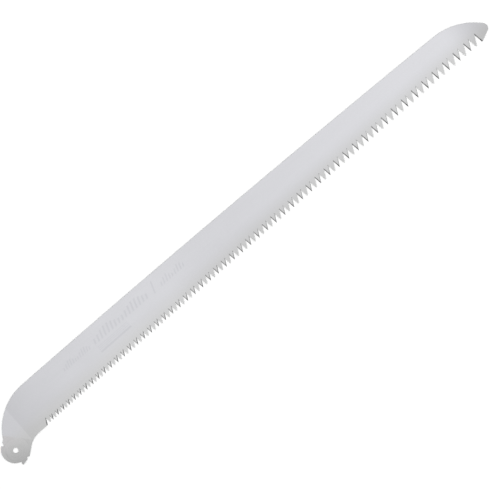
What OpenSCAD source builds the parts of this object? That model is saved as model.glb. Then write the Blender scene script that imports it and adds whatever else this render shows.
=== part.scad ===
// Replacement blade of a large folding pull saw.
// One flat steel piece: long tapered body, curved tip, and a tang that turns on the handle's bolt.
// Origin: axis of the pivot hole, on the lower face of the tang. +X to the tip, +Y to the spine.

/* [Body] */
// Thickness of the steel at the tang and at the toothed edge
blade_t = 2.0; // [1.6:0.1:2.6]
// Height of the spine above the pivot, at its highest point
spine_y = 78.2; // [74:0.1:82]
// Radius of the shallow curve of the spine
spine_r = 27750; // [24000:50:60000]
// Line of the tooth points and of the plain edge behind them, below the pivot
edge_y = -3.2; // [-5:0.1:-2]
// Radius of the rounded heel
heel_r = 99.3; // [97:0.1:101]

/* [Tip] */
// Where the spine turns into the curve of the tip
tip_start_x = 1011; // [1000:1:1020]
// Radius of the curve of the tip
tip_r = 111.5; // [108:0.5:114]
// Radius of the nose
nose_r = 8.5; // [5:0.5:9]
// Slope of the short edge between the last tooth and the nose, degrees
nose_slope = 24; // [20:0.1:30]

/* [Tang] */
// Radius of the pivot hole
pivot_r = 5.0; // [4:0.1:6]
// Radius of the round end of the tang
tang_r = 23.9; // [23.5:0.1:24.3]
// Radius of the root of the lock notch
notch_r = 2.2; // [2:0.05:2.4]
// Slope of the lower edge of the neck, degrees
neck_slope = 41.5; // [41:0.1:42]
// Radius between the neck and the plain edge
neck_r = 40; // [38:0.5:41]

/* [Teeth] */
// Where the plain edge ends and the first gullet, a wide one, begins
plain_end_x = 70.2; // [69:0.1:71.5]
// Where the spacing of the teeth starts to count
teeth_start_x = 71.7; // [71:0.1:75]
// Number of gullets
gullets = 108; // [60:1:108]
// Spacing of the teeth at the heel
heel_pitch = 6.05; // [5.5:0.05:6.5]
// Spacing of the teeth at the tip
tip_pitch = 12.58; // [12:0.01:12.6]
// How far the spacing half way along lags behind an even growth
pitch_lag = 0.117; // [0:0.001:0.2]
// Slant of the flank that faces the heel and cuts on the pull stroke, degrees
pull_slant = 8.5; // [6:0.5:10]
// Slant of the flank that faces the tip, degrees
push_slant = 28; // [25:0.5:29]
// Angle at which each gullet is filed across the blade, degrees
fleam = 40; // [30:1:42]
// Radius of the root of a gullet
root_r = 0.2; // [0.2:0.05:0.6]
// Length of the cutting point of each tooth
point_l = 0.4; // [0.3:0.05:0.6]

/* [Grind] */
// Loss of thickness on each face for each millimetre towards the spine
taper = 0.0031; // [0.002:0.0001:0.0035]
// Depth of the grind on each face at the toothed edge
grind_depth = 0.005; // [0.005:0.005:0.02]
// Where the grind begins to run out towards the tang
grind_x = 34; // [30:1:40]
// Slope of the run-out, which ends along a slanted line above the pivot
run_out = 0.0035; // [0.003:0.0001:0.005]

/* [Hidden] */
$fn = 96;
// Largest angle between two points of an outline curve
arc_step = 2;
// Distance between two points of the spine
spine_step = 35;
// How far a cutter reaches past the solid that it cuts
over = 4;

// Spine, as the height of its shallow curve at x, and the direction square to it there
spine_top_x = -45;
function spine_at(x) = spine_y - pow(x - spine_top_x, 2) / (2 * spine_r);
function spine_normal(x) = 90 - atan((x - spine_top_x) / spine_r);

function polar(r, a) = [r * cos(a), r * sin(a)];

// Points of an arc from angle a to angle b about a centre
function arc(centre, r, a, b) =
    let (n = max(2, ceil(abs(b - a) / arc_step)))
    [for (i = [0:n]) centre + polar(r, a + (b - a) * i / n)];

// Teeth: the spacing grows from the heel to the tip, a little faster towards the tip
function spread(s) =
    heel_pitch * s + (tip_pitch - heel_pitch) * s * s / 2 - 4 * pitch_lag * s * s * (1 / 2 - s / 3);
function tooth_x(i) = i == 0 ? plain_end_x : teeth_start_x + gullets * spread(i / gullets);
last_tooth_x = tooth_x(gullets) + point_l / 2;

// Tip: the large curve leaves the spine smoothly and holds the nose inside it
tip_normal = spine_normal(tip_start_x);
tip_c = [tip_start_x, spine_at(tip_start_x)] - polar(tip_r, tip_normal);
// The nose sits where the short edge that touches it runs out at the last tooth
nose_base = [last_tooth_x, edge_y] + polar(nose_r, nose_slope + 90) - tip_c;
nose_dir = nose_base * polar(1, nose_slope);
nose_reach = -nose_dir
    + sqrt(nose_dir * nose_dir - nose_base * nose_base + pow(tip_r - nose_r, 2));
nose_c = tip_c + nose_base + polar(nose_reach, nose_slope);
nose_a = atan2(nose_c[1] - tip_c[1], nose_c[0] - tip_c[0]);

// Heel: a quarter turn that leaves the spine smoothly and ends at the lock shoulder
heel_start_x = 82.5;
heel_normal = spine_normal(heel_start_x);
heel_c = [heel_start_x, spine_at(heel_start_x)] - polar(heel_r, heel_normal);
shoulder_y = 28;
heel_end_a = 180 - asin((shoulder_y - heel_c[1]) / heel_r);

// Lock shoulder and notch, which hold the blade open
shoulder = [[-6, 26.7], [-8.8, 25.5]];
notch_c = [-11, 21.5];
notch_corner = [-14.2, 21.5];
notch_end_a = 232;

// Round end of the tang, and the hook and the nick below it, which hold the blade shut
tang_c = [0.2, 2.7];
tang_start_a = atan2(notch_corner[1] - tang_c[1], notch_corner[0] - tang_c[0]);
tang_end_a = 256;
hook_neck = [-5.3, -21.5];
hook_c = [-5.1, -25.1];
hook_r = 1.7;
nick = [[4.5, -24.6], [7.8, -21.1], [11.5, -23]];

// Neck: a straight slope and a hollow that runs into the plain edge
neck_c = [50, edge_y - neck_r];

// Outline of the blade before the teeth are cut
function blade_outline() = concat(
    arc(neck_c, neck_r, 90 + neck_slope, 90),
    [[last_tooth_x, edge_y]],
    arc(nose_c, nose_r, nose_slope - 90, nose_a),
    arc(tip_c, tip_r, nose_a, tip_normal),
    [for (x = [tip_start_x - spine_step:-spine_step:heel_start_x + spine_step]) [x, spine_at(x)]],
    arc(heel_c, heel_r, heel_normal, heel_end_a),
    shoulder,
    arc(notch_c, notch_r, 360, notch_end_a),
    arc(tang_c, tang_r, tang_start_a, tang_end_a),
    [hook_neck],
    arc(hook_c, hook_r, 175, 285),
    nick
);

// Shape of a gullet cut square to its own direction, centred on its opening
module gullet_section(width) {
    squeeze = cos(fleam);
    left = tan(push_slant) * squeeze;
    right = tan(pull_slant) * squeeze;
    left_k = sqrt(1 + left * left);
    right_k = sqrt(1 + right * right);
    opening = width * squeeze;
    root_h = (opening - root_r * (left_k + right_k)) / (left + right);
    root_x = left * root_h + root_r * left_k - opening / 2;
    root_steps = 6;
    right_a = atan(right);
    left_a = 180 - atan(left);
    polygon(concat(
        [[-opening / 2 - left * over, -over], [opening / 2 + right * over, -over]],
        [for (i = [0:root_steps])
            [root_x, root_h] + polar(root_r, right_a + (left_a - right_a) * i / root_steps)]
    ));
}

// Gullets are filed across the blade at the fleam angle, from alternate sides
module gullet(i) {
    drift = blade_t * tan(fleam);
    start = tooth_x(i) + point_l / 2 - drift / 2;
    end = tooth_x(i + 1) - point_l / 2 + drift / 2;
    side = i % 2 == 0 ? -1 : 1;
    width = end - start;
    translate([start + width / 2, edge_y, blade_t / 2])
        rotate([0, side * fleam, 0])
            linear_extrude(2 * width, center = true)
                gullet_section(width);
}

// Space that the grinding wheel takes from one face: a long taper and its run-out to the tang
module grind() {
    reach = 1200;
    fall = -atan(taper);
    twist = atan(run_out);
    translate([grind_x, edge_y, blade_t - grind_depth])
        rotate([fall, 0, 0])
            translate([0, -30, 0]) cube([reach, 130, over]);
    intersection() {
        translate([grind_x, edge_y, blade_t - grind_depth])
            rotate([fall, twist, 0])
                translate([-60, -30, 0]) cube([70, 130, over]);
        translate([grind_x - 60, -40, 0]) cube([60, 140, over + 2]);
    }
}

module saw_blade() {
    color([0.84, 0.85, 0.87])
        difference() {
            linear_extrude(blade_t) polygon(blade_outline());
            translate([0, 0, -over]) cylinder(h = blade_t + 2 * over, r = pivot_r);
            for (i = [0:gullets - 1]) gullet(i);
            grind();
            translate([0, 0, blade_t]) mirror([0, 0, 1]) grind();
        }
}

saw_blade();
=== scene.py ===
"""Looks for the pull saw blade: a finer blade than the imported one, on the same dimensions,
with satin plated faces, ground tooth bevels, a turned tang and an etched ornament."""

import bpy
import math
from mathutils import Matrix, Vector, geometry


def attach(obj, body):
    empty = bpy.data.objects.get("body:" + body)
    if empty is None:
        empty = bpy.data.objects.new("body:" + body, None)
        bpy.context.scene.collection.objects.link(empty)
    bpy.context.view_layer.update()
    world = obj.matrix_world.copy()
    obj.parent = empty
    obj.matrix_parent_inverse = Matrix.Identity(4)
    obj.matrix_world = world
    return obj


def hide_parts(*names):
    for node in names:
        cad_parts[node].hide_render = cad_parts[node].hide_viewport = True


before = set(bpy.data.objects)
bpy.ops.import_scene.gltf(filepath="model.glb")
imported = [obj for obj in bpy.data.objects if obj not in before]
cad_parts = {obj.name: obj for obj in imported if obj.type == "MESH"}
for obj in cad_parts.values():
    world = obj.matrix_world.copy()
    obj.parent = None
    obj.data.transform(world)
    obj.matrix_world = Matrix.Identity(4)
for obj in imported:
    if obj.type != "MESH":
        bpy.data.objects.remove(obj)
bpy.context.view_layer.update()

MM = 0.001

# ---------------------------------------------------------------- dimensions of the blade, mm
THICK = 2.0
MID = THICK / 2
SPINE_Y, SPINE_R, SPINE_TOP_X = 78.2, 27750.0, -45.0
EDGE_Y = -3.2
HEEL_R, HEEL_START_X, SHOULDER_Y = 99.3, 82.5, 28.0
TIP_START_X, TIP_R, NOSE_R, NOSE_SLOPE = 1011.0, 111.5, 8.5, 24.0
PIVOT_R, TANG_R, TANG_C, TANG_END_A = 5.0, 23.9, (0.2, 2.7), 256.0
SHOULDER = [(-6.0, 26.7), (-8.8, 25.5)]
NOTCH_C, NOTCH_R, NOTCH_END_A, NOTCH_CORNER = (-11.0, 21.5), 2.2, 232.0, (-14.2, 21.5)
HOOK_NECK, HOOK_C, HOOK_R = (-5.3, -21.5), (-5.1, -25.1), 1.7
HOOK_START_A, HOOK_END_A = 175, 285
NICK = [(4.5, -24.6), (7.8, -21.1), (11.5, -23.0)]
NECK_SLOPE, NECK_R, NECK_X = 41.5, 40.0, 50.0
PLAIN_END_X, TEETH_START_X, GULLETS = 70.2, 71.7, 108
HEEL_PITCH, TIP_PITCH, PITCH_LAG = 6.05, 12.58, 0.117
PULL_SLANT, PUSH_SLANT, FLEAM, ROOT_R, POINT_L = 8.5, 28.0, 40.0, 0.2, 0.4
TAPER, GRIND_DEPTH, GRIND_X, RUN_OUT = 0.0031, 0.005, 34.0, 0.0035

# Finish that only the visual model shows: broken edges, mm, and the small third bevel of a
# point, as a share of the ridge that it takes off
DEBURR = 0.15
POINT_BEVEL = 0.28

# Fineness of the mesh: degrees along an arc, mm along the spine, steps round a hole or root,
# and the degrees between two faces below which they shade as one surface
ARC_STEP = 1.0
NOTCH_STEP = 8
TANG_STEP = 1.5
HOOK_STEP = 10
NOSE_STEP = 6
SPINE_STEP = 17.5
ROOT_STEPS = 8
HOLE_STEPS = 128
SMOOTH_BELOW = 24


def tand(a):
    return math.tan(math.radians(a))


def polar(r, a):
    return Vector((r * math.cos(math.radians(a)), r * math.sin(math.radians(a))))


def arc(centre, r, a, b, step=ARC_STEP):
    """Points of an arc from angle a to angle b, both in degrees."""
    n = max(2, math.ceil(abs(b - a) / step))
    return [Vector(centre) + polar(r, a + (b - a) * i / n) for i in range(n + 1)]


def spine_at(x):
    return SPINE_Y - (x - SPINE_TOP_X) ** 2 / (2 * SPINE_R)


def spine_normal(x):
    return 90 - math.degrees(math.atan((x - SPINE_TOP_X) / SPINE_R))


def angle_of(v):
    return math.degrees(math.atan2(v.y, v.x))


def tooth_x(i):
    """Place of a tooth. The spacing grows to the tip, and the first gullet is a wide one."""
    if i == 0:
        return PLAIN_END_X
    s = i / GULLETS
    even = HEEL_PITCH * s + (TIP_PITCH - HEEL_PITCH) * s * s / 2
    return TEETH_START_X + GULLETS * (even - 4 * PITCH_LAG * s * s * (1 / 2 - s / 3))


def grind_loss(x, y):
    """How much the grind takes off one face at a place on the blade."""
    return max(0.0, GRIND_DEPTH + TAPER * (y - EDGE_Y) - RUN_OUT * max(0.0, GRIND_X - x))


# ---------------------------------------------------------------- outline
def plain_outline():
    """The outline from the last tooth round the tip, spine, heel and tang to the plain edge."""
    last = Vector((tooth_x(GULLETS) + POINT_L / 2, EDGE_Y))
    tip_normal = spine_normal(TIP_START_X)
    tip_c = Vector((TIP_START_X, spine_at(TIP_START_X))) - polar(TIP_R, tip_normal)
    base = last + polar(NOSE_R, NOSE_SLOPE + 90) - tip_c
    along = base.dot(polar(1, NOSE_SLOPE))
    reach = -along + math.sqrt(along ** 2 - base.length_squared + (TIP_R - NOSE_R) ** 2)
    nose_c = tip_c + base + polar(reach, NOSE_SLOPE)
    nose_a = angle_of(nose_c - tip_c)
    heel_normal = spine_normal(HEEL_START_X)
    heel_c = Vector((HEEL_START_X, spine_at(HEEL_START_X))) - polar(HEEL_R, heel_normal)
    heel_end = 180 - math.degrees(math.asin((SHOULDER_Y - heel_c.y) / HEEL_R))
    tang_start = angle_of(Vector(NOTCH_CORNER) - Vector(TANG_C)) % 360
    spine_n = round((TIP_START_X - HEEL_START_X) / SPINE_STEP)
    spine = [TIP_START_X + (HEEL_START_X - TIP_START_X) * i / spine_n for i in range(1, spine_n)]
    return (
        arc(nose_c, NOSE_R, NOSE_SLOPE - 90, nose_a, NOSE_STEP)
        + arc(tip_c, TIP_R, nose_a, tip_normal)[1:]
        + [Vector((x, spine_at(x))) for x in spine]
        + arc(heel_c, HEEL_R, heel_normal, heel_end)
        + [Vector(p) for p in SHOULDER]
        + arc(NOTCH_C, NOTCH_R, 360, NOTCH_END_A, NOTCH_STEP)
        + arc(TANG_C, TANG_R, tang_start, TANG_END_A, TANG_STEP)
        + [Vector(HOOK_NECK)]
        + arc(HOOK_C, HOOK_R, HOOK_START_A, HOOK_END_A, HOOK_STEP)
        + [Vector(p) for p in NICK]
        + arc((NECK_X, EDGE_Y - NECK_R), NECK_R, 90 + NECK_SLOPE, 90)
    )


def split_outline(points, crossing):
    """Adds a point wherever crossing(p) changes sign, so that a grind line can end there."""
    out, marks = [], []
    for a, b in zip(points, points[1:]):
        out.append(a)
        ca, cb = crossing(a), crossing(b)
        if ca * cb < 0:
            marks.append(a.lerp(b, ca / (ca - cb)))
            out.append(marks[-1])
    out.append(points[-1])
    return out, marks


def run_out_edge(p):
    """Zero along the slanted line where the run-out of the grind ends."""
    return GRIND_DEPTH + TAPER * (p.y - EDGE_Y) - RUN_OUT * (GRIND_X - p.x)


# ---------------------------------------------------------------- teeth
class Gullet:
    """One gullet: two oblique flanks and a round root, filed across the blade from one side."""

    def __init__(self, i):
        self.lean = (-1 if i % 2 == 0 else 1) * tand(FLEAM)
        squeeze = math.cos(math.radians(FLEAM))
        drift = THICK * tand(FLEAM)
        self.start = tooth_x(i) + POINT_L / 2 - drift / 2
        self.end = tooth_x(i + 1) - POINT_L / 2 + drift / 2
        left, right = tand(PUSH_SLANT) * squeeze, tand(PULL_SLANT) * squeeze
        left_k, right_k = math.hypot(1, left), math.hypot(1, right)
        opening = (self.end - self.start) * squeeze
        root_h = (opening - ROOT_R * (left_k + right_k)) / (left + right)
        centre = Vector((left * root_h + ROOT_R * left_k, root_h))
        first, last = 180 - math.degrees(math.atan(left)), math.degrees(math.atan(right))
        points = [centre + polar(ROOT_R, first + (last - first) * k / ROOT_STEPS)
                  for k in range(ROOT_STEPS + 1)]
        self.root = [Vector((self.start + p.x / squeeze, EDGE_Y + p.y)) for p in points]

    def on_face(self, p, top):
        """Where a mid-plane point of this gullet meets the top or the bottom face."""
        z = face_z(p.x, p.y, top)
        return Vector((p.x + self.lean * (z - MID), p.y, z))


def face_z(x, y, top):
    loss = grind_loss(x, y)
    return THICK - loss if top else loss


class Tooth:
    """The point of a tooth: a chisel edge on one face, and a ridge that leans to the other."""

    def __init__(self, i, before, after):
        self.wide_top = i % 2 == 1
        x = tooth_x(i)
        edge_z = face_z(x, EDGE_Y, self.wide_top)
        self.corners = [Vector((before.end + before.lean * (edge_z - MID), EDGE_Y, edge_z)),
                        Vector((after.start + after.lean * (edge_z - MID), EDGE_Y, edge_z))]
        narrow = not self.wide_top
        pull, push = tand(PULL_SLANT), tand(PUSH_SLANT)
        # Height at which the two flanks meet on the narrow face, whose z falls with height
        z0 = face_z(x, EDGE_Y, narrow)
        dz = -TAPER if narrow else TAPER
        gap0 = (before.end + before.lean * (z0 - MID)) - (after.start + after.lean * (z0 - MID))
        gap_rate = -pull - push + (before.lean - after.lean) * dz
        h = -gap0 / gap_rate
        z = z0 + dz * h
        self.apex = Vector((before.end + before.lean * (z - MID) - pull * h, EDGE_Y + h, z))
        # Where the ridge would meet the edge line, and where the small third bevel takes it off
        foot_z = MID - (before.end - after.start) / (before.lean - after.lean)
        foot = Vector((before.end + before.lean * (foot_z - MID), EDGE_Y, foot_z))
        self.bevel = foot.lerp(self.apex, POINT_BEVEL)


def last_point(gullet):
    """The last tooth, whose far side is the straight edge of the nose: the point on the upper
    face, the two corners on the lower face, and where the flank crosses the upright corner."""
    corner_x = tooth_x(GULLETS) + POINT_L / 2
    low_z, top_z = face_z(corner_x, EDGE_Y, False), face_z(corner_x, EDGE_Y, True)
    rise = tand(NOSE_SLOPE)
    reach = gullet.end + gullet.lean * (top_z - MID) - corner_x
    h = rise * reach / (1 + rise * tand(PULL_SLANT))
    top = Vector((corner_x + h / rise, EDGE_Y + h, face_z(corner_x, EDGE_Y + h, True)))
    corners = [Vector((gullet.end + gullet.lean * (low_z - MID), EDGE_Y, low_z)),
               Vector((corner_x, EDGE_Y, low_z))]
    foot = Vector((corner_x, EDGE_Y, MID + (corner_x - gullet.end) / gullet.lean))
    return top, corners, foot


# ---------------------------------------------------------------- ornament
def bar(x, y, length, height, lean):
    """A slanted bar, as four corners."""
    shift = lean * height
    return [Vector((x, y)), Vector((x + length, y)),
            Vector((x + length + shift, y + height)), Vector((x + shift, y + height))]


# Groups of slanted bars: start, number of bars, their spacing, the lowest and highest, mm
BAR_GROUPS = ((153, 12, 5.2, 5, 12), (223, 16, 7.9, 9, 17), (376, 9, 6.2, 6, 13))
BAR_FOOT, BAR_FILL, BAR_LEAN = 46, 0.42, 0.35
TALL_BAR = (358, 44, 2.6, 21, BAR_LEAN)
# The ruled bar: where it starts, its length, and the foot and height of each of its lines, mm
RULE_X, RULE_LENGTH = 223, 68
RULES = ((28, 3.2), (33.5, 0.9), (36.5, 0.9), (39.5, 0.9))


def ornament():
    """Etched decoration: three groups of slanted bars in waves of height, and a ruled bar."""
    marks = []
    for start, count, pitch, low, high in BAR_GROUPS:
        for k in range(count):
            wave = 0.5 - 0.5 * math.cos(4 * math.pi * (k + 0.5) / count)
            height = low + (high - low) * wave
            marks.append(bar(start + k * pitch, BAR_FOOT, pitch * BAR_FILL, height, BAR_LEAN))
    marks.append(bar(*TALL_BAR))
    for row, height in RULES:
        marks.append(bar(RULE_X, row, RULE_LENGTH, height, 0))
    return marks


# ---------------------------------------------------------------- mesh
class Builder:
    """Collects vertices and faces in millimetres, with one material and shading for each face."""

    def __init__(self):
        self.points, self.faces, self.slots, self.smooth = [], [], [], []

    def point(self, p):
        self.points.append(Vector(p))
        return len(self.points) - 1

    def face(self, corners, slot, smooth=False):
        kept = [c for k, c in enumerate(corners) if c != corners[k - 1]]
        if len(kept) > 2:
            self.faces.append(kept)
            self.slots.append(slot)
            self.smooth.append(smooth)

    def mesh(self, name, materials):
        made = bpy.data.meshes.new(name)
        made.from_pydata([p * MM for p in self.points], [], self.faces)
        made.polygons.foreach_set("material_index", self.slots)
        made.polygons.foreach_set("use_smooth", self.smooth)
        for material in materials:
            made.materials.append(material)
        made.validate()
        made.set_sharp_from_angle(angle=math.radians(SMOOTH_BELOW))
        made.update()
        return made


FACE, TANG, BEVEL, ETCH, RIM = range(5)


def inward(points, k):
    """Mitred unit step into the blade at a point of the outline, which runs counter-clockwise."""
    a = (points[k] - points[k - 1]).normalized()
    b = (points[(k + 1) % len(points)] - points[k]).normalized()
    na, nb = Vector((-a.y, a.x)), Vector((-b.y, b.x))
    middle = (na + nb).normalized()
    return middle / max(0.5, middle.dot(na))


def fill(builder, rings, ties, marks, top):
    """Triangles over one face of the blade. rings are (points, vertex numbers): outline, hole."""
    flat, ids, edges = [], [], []
    rings = [[v for k, v in enumerate(points) if v != points[k - 1]] for points in rings]
    for points in rings:
        start = len(flat)
        flat += [Vector((builder.points[i].x, builder.points[i].y)) for i in points]
        ids += points
        edges += [(start + k, start + (k + 1) % len(points)) for k in range(len(points))]
    where = {v: k for k, v in enumerate(ids)}
    edges += [(where[a], where[b]) for a, b in ties]
    for mark in marks:
        start = len(flat)
        flat += mark
        ids += [builder.point((p.x, p.y, face_z(p.x, p.y, top))) for p in mark]
        edges += [(start + k, start + (k + 1) % len(mark)) for k in range(len(mark))]
    outer = list(range(len(rings[0])))
    verts, _, tris, from_verts = geometry.delaunay_2d_cdt(flat, edges, [outer], 1, 1e-6)[:4]
    numbers = []
    for v, source in zip(verts, from_verts):
        if source:
            numbers.append(ids[source[0]])
        else:
            numbers.append(builder.point((v.x, v.y, face_z(v.x, v.y, top))))
    for tri in tris:
        centre = sum((verts[k] for k in tri), Vector((0, 0))) / 3
        if centre.length < PIVOT_R + DEBURR:
            continue
        slot = FACE
        if centre.x < GRIND_X and run_out_edge(centre) < 0:
            slot = TANG
        if any(inside(mark, centre) for mark in marks):
            slot = ETCH
        corners = [numbers[k] for k in tri]
        builder.face(corners if top else corners[::-1], slot)


def inside(quad, p):
    return all((quad[(k + 1) % 4] - quad[k]).cross(p - quad[k]) > 0 for k in range(4))


def blade_mesh(materials):
    build = Builder()
    gullets = [Gullet(i) for i in range(GULLETS)]
    outline = plain_outline()
    ties_at = []
    for crossing in (lambda p: p.x - GRIND_X, run_out_edge):
        outline, cuts = split_outline(outline, crossing)
        ties_at.append(cuts)
    # Rings: face edge above, wall above, wall below, face edge below
    ring = [[], [], [], []]

    def add(upper_face, upper, lower, lower_face):
        for r, p in zip(ring, (upper_face, upper, lower, lower_face)):
            r.append(p)

    def add_sharp(upper, lower):
        u, w = build.point(upper), build.point(lower)
        add(u, u, w, w)

    for k, p in enumerate(outline):
        zt, zb = face_z(p.x, p.y, True), face_z(p.x, p.y, False)
        if k in (0, len(outline) - 1):
            add_sharp((p.x, p.y, zt), (p.x, p.y, zb))
            continue
        q = p + inward(outline, k) * DEBURR
        add(build.point((q.x, q.y, face_z(q.x, q.y, True))),
            build.point((p.x, p.y, zt - DEBURR)), build.point((p.x, p.y, zb + DEBURR)),
            build.point((q.x, q.y, face_z(q.x, q.y, False))))
    places = {tuple(p): ring[0][k] for k, p in enumerate(outline)}
    places_low = {tuple(p): ring[3][k] for k, p in enumerate(outline)}
    plain_n = len(outline)

    # The teeth, from the end of the plain edge to the tip
    bevels = []
    start = Vector((gullets[0].start, EDGE_Y))
    add_sharp(gullets[0].on_face(start, True), gullets[0].on_face(start, False))
    for i, g in enumerate(gullets):
        for p in g.root:
            add_sharp(g.on_face(p, True), g.on_face(p, False))
        if i + 1 < GULLETS:
            tooth = Tooth(i + 1, g, gullets[i + 1])
            bevels.append((len(ring[0]), tooth))
            apex = build.point(tooth.apex)
            corners = [build.point(c) for c in tooth.corners]
            for c in corners:
                if tooth.wide_top:
                    add(c, c, apex, apex)
                else:
                    add(apex, apex, c, c)
    end_point, end_corners, end_foot = last_point(gullets[-1])
    tip_top = build.point(end_point)
    end_ids = [build.point(c) for c in end_corners]
    for c in end_ids:
        add(tip_top, tip_top, c, c)

    n = len(ring[0])
    tooth_starts = {k for k, _ in bevels} | {n - 2}
    for k in range(n):
        m = (k + 1) % n
        wall = BEVEL if k >= plain_n and m > plain_n else RIM
        if k in tooth_starts:
            continue
        build.face([ring[0][k], ring[1][k], ring[1][m], ring[0][m]], RIM, True)
        build.face([ring[1][k], ring[2][k], ring[2][m], ring[1][m]], wall, True)
        build.face([ring[2][k], ring[3][k], ring[3][m], ring[2][m]], RIM, True)
    foot = build.point(end_foot)
    for tri in ((tip_top, end_ids[0], foot), (end_ids[0], end_ids[1], foot),
                (end_ids[1], tip_top, foot)):
        build.face(tri, BEVEL)
    for k, tooth in bevels:
        bevel = build.point(tooth.bevel)
        wide, narrow = (ring[0], ring[3]) if tooth.wide_top else (ring[3], ring[0])
        a, p1, p2 = narrow[k], wide[k], wide[k + 1]
        for tri in ((a, p1, bevel), (p2, a, bevel), (p1, p2, bevel)):
            build.face(tri[::-1] if tooth.wide_top else tri, BEVEL)

    # The pivot hole, with the same four rings from one face to the other
    rings4 = [[], [], [], []]
    for k in range(HOLE_STEPS):
        d = polar(1, 360 * k / HOLE_STEPS)
        q, p = d * (PIVOT_R + DEBURR), d * PIVOT_R
        for r, (v, z) in zip(rings4, ((q, THICK), (p, THICK - DEBURR), (p, DEBURR), (q, 0.0))):
            r.append(build.point((v.x, v.y, z)))
    for k in range(HOLE_STEPS):
        m = (k + 1) % HOLE_STEPS
        for upper, lower in zip(rings4, rings4[1:]):
            build.face([upper[m], lower[m], lower[k], upper[k]], RIM, True)

    def ties(table):
        return [(table[tuple(a)], table[tuple(b)]) for a, b in (c[:2] for c in ties_at if len(c) > 1)]

    fill(build, [ring[0], rings4[0]], ties(places), ornament(), True)
    fill(build, [ring[3], rings4[3]], ties(places_low), [], False)
    return build.mesh("blade", materials)


# ---------------------------------------------------------------- materials
# Painted shade and highlight over the ground faces, as ramps: start, end, value below, value above.
# Places in metres.
# How near the teeth a place is, by its height, and how much darker painted shade makes it, by its x
NEAR_TEETH = (-0.005, 0.040, 1.0, 0.0)
TEETH_DARKER = (0.2, 0.6, -0.06, -0.14)
# Painted shade towards the heel
HEEL_DARKER = (-0.02, 0.16, 0.88, 1.0)
# The facet where the grind runs out gets a painted highlight, with painted shade just past its crease
FACET_EDGE = (0.0328, 0.0352, 1.055, 0.985)
FACET_FADE = (0.0352, 0.060, 1.0, 1.015)
# A paler stretch round the marks, which turns a little darker past them
PALER_START = (0.12, 0.28, 0.0, 0.03)
PALER_END = (0.36, 0.48, 1.0, -0.6)
# A painted highlight towards the tip, and painted shade at the nose
TIP_LIGHTER = (0.55, 0.95, 1.0, 1.03)
NOSE_DARKER = (1.02, 1.09, 1.0, 0.80)
# Painted shade of the tang: tone for each metre along X and Y, and the most that it may gain
TANG_BY_X, TANG_BY_Y, TANG_MOST = 3.0, 6.3, 0.10
# Below this height the steel loses its faint blue, and looks neutral grey
NEUTRAL_BELOW = (0.0, 0.035, 0.0, 1.0)
# Scale of the broad streaks, in features per metre, and the part of the noise that is used
STREAKS, RING_STREAKS = (14, 45, 45), (60, 260, 60)
NOISE_LOW, NOISE_HIGH = 0.3, 0.7


def node(tree, kind, **settings):
    made = tree.nodes.new(kind)
    for key, value in settings.items():
        setattr(made, key, value)
    return made


def combine(tree, operation, a, b):
    """A Math node on two values, each of which is a number or a socket."""
    made = node(tree, "ShaderNodeMath", operation=operation)
    for socket, value in zip(made.inputs, (a, b)):
        if isinstance(value, (int, float)):
            socket.default_value = value
        else:
            tree.links.new(value, socket)
    return made.outputs["Value"]


def ramp(tree, value, start, end, low, high, kind="SMOOTHSTEP"):
    """low where value is below start, high where it is above end, and a smooth turn between."""
    made = node(tree, "ShaderNodeMapRange", interpolation_type=kind)
    for key, number in (("From Min", start), ("From Max", end), ("To Min", low), ("To Max", high)):
        made.inputs[key].default_value = number
    tree.links.new(value, made.inputs["Value"])
    return made.outputs["Result"]


def noise(tree, coords, scale):
    """Noise of its own scale along each axis, in features per metre."""
    mapping = node(tree, "ShaderNodeMapping")
    mapping.inputs["Scale"].default_value = scale
    tree.links.new(coords, mapping.inputs["Vector"])
    made = node(tree, "ShaderNodeTexNoise")
    made.inputs["Scale"].default_value = 1.0
    made.inputs["Detail"].default_value = 3.0
    tree.links.new(mapping.outputs["Vector"], made.inputs["Vector"])
    return made.outputs["Fac"]


def turned(tree, place):
    """Coordinates whose Y is the distance from the pivot, for rings left by a facing cutter.
    X and Z still hold the place on the blade, so that the rings break up into streaks."""
    flat = node(tree, "ShaderNodeCombineXYZ")
    tree.links.new(place.outputs["X"], flat.inputs["X"])
    tree.links.new(place.outputs["Y"], flat.inputs["Y"])
    radius = node(tree, "ShaderNodeVectorMath", operation="LENGTH")
    tree.links.new(flat.outputs["Vector"], radius.inputs[0])
    rings = node(tree, "ShaderNodeCombineXYZ")
    tree.links.new(place.outputs["X"], rings.inputs["X"])
    tree.links.new(radius.outputs["Value"], rings.inputs["Y"])
    tree.links.new(place.outputs["Y"], rings.inputs["Z"])
    return rings.outputs["Vector"]


def painted_face_shade(tree, place):
    """Slow painted shade and highlight over the ground faces: darker by the teeth, the heel and the
    nose, a painted highlight on the run-out facet and the tip, and a paler stretch where the marks
    are."""
    x, y = place.outputs["X"], place.outputs["Y"]
    darker = combine(tree, "MULTIPLY", ramp(tree, y, *NEAR_TEETH), ramp(tree, x, *TEETH_DARKER))
    by_teeth = combine(tree, "ADD", darker, 1.0)
    facet = combine(tree, "MULTIPLY", ramp(tree, x, *FACET_EDGE), ramp(tree, x, *FACET_FADE))
    paler = combine(tree, "MULTIPLY", ramp(tree, x, *PALER_START), ramp(tree, x, *PALER_END))
    tip = combine(tree, "MULTIPLY", ramp(tree, x, *TIP_LIGHTER), ramp(tree, x, *NOSE_DARKER))
    shade = combine(tree, "MULTIPLY", combine(tree, "MULTIPLY", by_teeth, tip),
                    combine(tree, "MULTIPLY", ramp(tree, x, *HEEL_DARKER), facet))
    return combine(tree, "MULTIPLY", shade, combine(tree, "ADD", paler, 1.0))


def painted_tang_shade(tree, place):
    """Painted shade: the land of the tang gets darker towards its round end."""
    slope = combine(tree, "ADD", combine(tree, "MULTIPLY", place.outputs["X"], TANG_BY_X),
                    combine(tree, "MULTIPLY", place.outputs["Y"], TANG_BY_Y))
    return combine(tree, "ADD", combine(tree, "MINIMUM", slope, TANG_MOST), 1.0)


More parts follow.
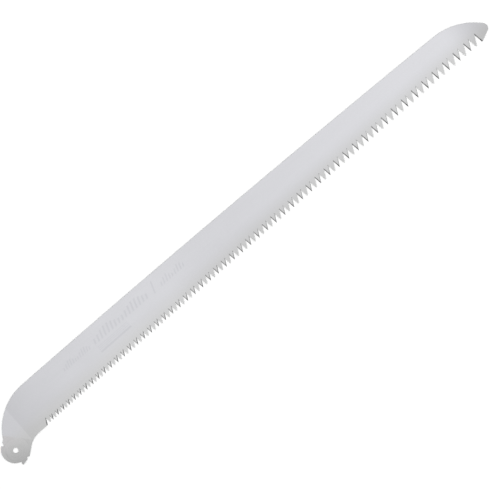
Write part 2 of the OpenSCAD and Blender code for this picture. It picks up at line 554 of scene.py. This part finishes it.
def steel(name, colour, roughness, lines, swing, bump, shade=None, rings=False):
    """Plated or bare steel. lines is the scale of its fine marks along X, Y and Z, in features
    per metre, swing is how much they and the broad streaks change the tone and the roughness,
    bump is the depth of the fine marks in mm, and shade gives painted shade and highlight by place."""
    material = bpy.data.materials.new(name)
    material.use_nodes = True
    tree = material.node_tree
    shader = tree.nodes["Principled BSDF"]
    shader.inputs["Metallic"].default_value = 1.0
    coords = node(tree, "ShaderNodeTexCoord").outputs["Object"]
    place = node(tree, "ShaderNodeSeparateXYZ")
    tree.links.new(coords, place.inputs["Vector"])
    along = turned(tree, place) if rings else coords
    fine = noise(tree, along, lines)
    broad = noise(tree, along, RING_STREAKS if rings else STREAKS)
    mixed = combine(tree, "ADD", combine(tree, "MULTIPLY", fine, 0.5),
                    combine(tree, "MULTIPLY", broad, 0.5))
    tone = ramp(tree, mixed, NOISE_LOW, NOISE_HIGH, 1 - swing, 1 + swing, "LINEAR")
    # Painted shade and highlight by place, multiplied into the colour
    if shade:
        tone = combine(tree, "MULTIPLY", tone, shade(tree, place))
    hue = node(tree, "ShaderNodeMix", data_type="RGBA")
    factor, grey, full, result = hue.inputs[0], hue.inputs[6], hue.inputs[7], hue.outputs[2]
    grey.default_value = (colour[1], colour[1], colour[1], 1)
    full.default_value = (*colour, 1)
    tree.links.new(ramp(tree, place.outputs["Y"], *NEUTRAL_BELOW), factor)
    tint = node(tree, "ShaderNodeVectorMath", operation="SCALE")
    tree.links.new(result, tint.inputs[0])
    tree.links.new(tone, tint.inputs["Scale"])
    tree.links.new(tint.outputs["Vector"], shader.inputs["Base Color"])
    rough = ramp(tree, mixed, NOISE_LOW, NOISE_HIGH, roughness - swing, roughness + swing,
                 "LINEAR")
    tree.links.new(rough, shader.inputs["Roughness"])
    relief = node(tree, "ShaderNodeBump")
    relief.inputs["Distance"].default_value = bump * MM
    tree.links.new(fine, relief.inputs["Height"])
    tree.links.new(relief.outputs["Normal"], shader.inputs["Normal"])
    return material


def make_materials():
    """One material for each slot of the mesh, in the order FACE, TANG, BEVEL, ETCH, RIM."""
    # The plated faces and the marks take painted shade and highlight by place, the tang land painted
    # shade
    return [
        steel("satin_plating", (0.459, 0.460, 0.479), 0.36, (20, 2600, 2600), 0.035, 0.004,
              painted_face_shade),
        steel("tang_land", (0.382, 0.374, 0.380), 0.42, (20, 1100, 20), 0.15, 0.008,
              painted_tang_shade, rings=True),
        steel("ground_bevel", (0.50, 0.50, 0.51), 0.14, (2500, 120, 2500), 0.05, 0.004),
        steel("etched_mark", (0.436, 0.438, 0.459), 0.44, (900, 900, 900), 0.04, 0.006,
              painted_face_shade),
        steel("cut_rim", (0.50, 0.50, 0.51), 0.36, (80, 80, 4000), 0.05, 0.006),
    ]


# ---------------------------------------------------------------- stage
# The camera: metres above the blade, metres seen across, degrees that the blade slopes, centre
CAMERA_DISTANCE = 4.0
VIEW_WIDTH = 0.8431
BLADE_SLOPE = 41.41
VIEW_CENTRE = (0.5304, 0.0055)
FLOOR_HALF, FLOOR_Z, FLOOR_TONE = 12.0, -0.0001, 0.92
# Strength of the light overhead, and the share of it that is left at the horizon
SKY, HORIZON_DIM = 1.5, 0.05
# Height of a direction at which the light is full, and at which the upper half ends
SKY_FULL, ROOM_EDGE = 0.95, 0.02
# How the light leans along X, Y and Z, and how far that may change it
LIGHT_LEAN = (0.8, 0.1, 0.0)
LEAN_MOST = 0.2
# Strength of the table seen straight down, its tilt along X, and where it fades to the room
TABLE, TABLE_TILT = 1.0, 0.045
TABLE_FULL, TABLE_END = -0.36, -0.12


def make_camera():
    """Straight above the marked face, turned so that the blade slopes up to the right."""
    camera = bpy.data.objects.new("camera", bpy.data.cameras.new("camera"))
    bpy.context.scene.collection.objects.link(camera)
    camera.data.lens = camera.data.sensor_width * CAMERA_DISTANCE / VIEW_WIDTH
    camera.data.clip_end = 100
    a = math.radians(-BLADE_SLOPE)
    camera.matrix_world = (Matrix.Translation((*VIEW_CENTRE, CAMERA_DISTANCE))
                           @ Matrix.Rotation(a, 4, "Z"))
    bpy.context.scene.camera = camera


def make_floor():
    """A plain pale floor just under the blade, clear from below and left out of reflections."""
    mesh = bpy.data.meshes.new("floor")
    r, z = FLOOR_HALF, FLOOR_Z
    mesh.from_pydata([(-r, -r, z), (r, -r, z), (r, r, z), (-r, r, z)], [], [(0, 1, 2, 3)])
    floor = bpy.data.objects.new("floor", mesh)
    bpy.context.scene.collection.objects.link(floor)
    material = bpy.data.materials.new("floor")
    material.use_nodes = True
    tree = material.node_tree
    shader = tree.nodes["Principled BSDF"]
    shader.inputs["Base Color"].default_value = (FLOOR_TONE, FLOOR_TONE, FLOOR_TONE, 1)
    shader.inputs["Roughness"].default_value = 0.9
    shader.inputs["Specular IOR Level"].default_value = 0.0
    clear = node(tree, "ShaderNodeBsdfTransparent")
    sides = node(tree, "ShaderNodeMixShader")
    facing = node(tree, "ShaderNodeNewGeometry")
    tree.links.new(facing.outputs["Backfacing"], sides.inputs["Fac"])
    tree.links.new(shader.outputs["BSDF"], sides.inputs[1])
    tree.links.new(clear.outputs["BSDF"], sides.inputs[2])
    tree.links.new(sides.outputs["Shader"], tree.nodes["Material Output"].inputs["Surface"])
    mesh.materials.append(material)
    floor.visible_glossy = False


def make_world():
    """Soft light from above, brighter past the tip. Polished bevels face the table round the
    blade, which is bright close by and falls away to a dim room along the horizon."""
    world = bpy.data.worlds.new("studio")
    bpy.context.scene.world = world
    world.use_nodes = True
    tree = world.node_tree
    background = tree.nodes["Background"]
    background.inputs["Color"].default_value = (1, 1, 1, 1)
    direction = node(tree, "ShaderNodeTexCoord").outputs["Generated"]
    lean = node(tree, "ShaderNodeVectorMath", operation="DOT_PRODUCT")
    lean.inputs[1].default_value = LIGHT_LEAN
    tree.links.new(direction, lean.inputs[0])
    split = node(tree, "ShaderNodeSeparateXYZ")
    tree.links.new(direction, split.inputs["Vector"])
    height = split.outputs["Z"]
    side = ramp(tree, lean.outputs["Value"], -LEAN_MOST, LEAN_MOST, 1 - LEAN_MOST,
                1 + LEAN_MOST, "LINEAR")
    above = combine(tree, "MULTIPLY", side,
                    ramp(tree, height, 0.0, SKY_FULL, SKY * HORIZON_DIM, SKY))
    room = combine(tree, "MULTIPLY", above, ramp(tree, height, -ROOM_EDGE, ROOM_EDGE, 0.0, 1.0))
    tilt = combine(tree, "MULTIPLY", split.outputs["X"], TABLE_TILT)
    below = ramp(tree, combine(tree, "ADD", height, tilt), TABLE_FULL, TABLE_END, TABLE, 0.0)
    level = combine(tree, "ADD", room, combine(tree, "ADD", below, SKY * HORIZON_DIM / 2))
    # What the camera sees past the floor is as bright as the light overhead
    backdrop = node(tree, "ShaderNodeLightPath").outputs["Is Camera Ray"]
    tree.links.new(combine(tree, "MAXIMUM", level, combine(tree, "MULTIPLY", backdrop, SKY)),
                   background.inputs["Strength"])


blade = bpy.data.objects.new("blade", blade_mesh(make_materials()))
bpy.context.scene.collection.objects.link(blade)
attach(blade, "root")
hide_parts("saw_blade")

make_camera()
make_floor()
make_world()
bpy.context.scene.view_settings.view_transform = "Standard"
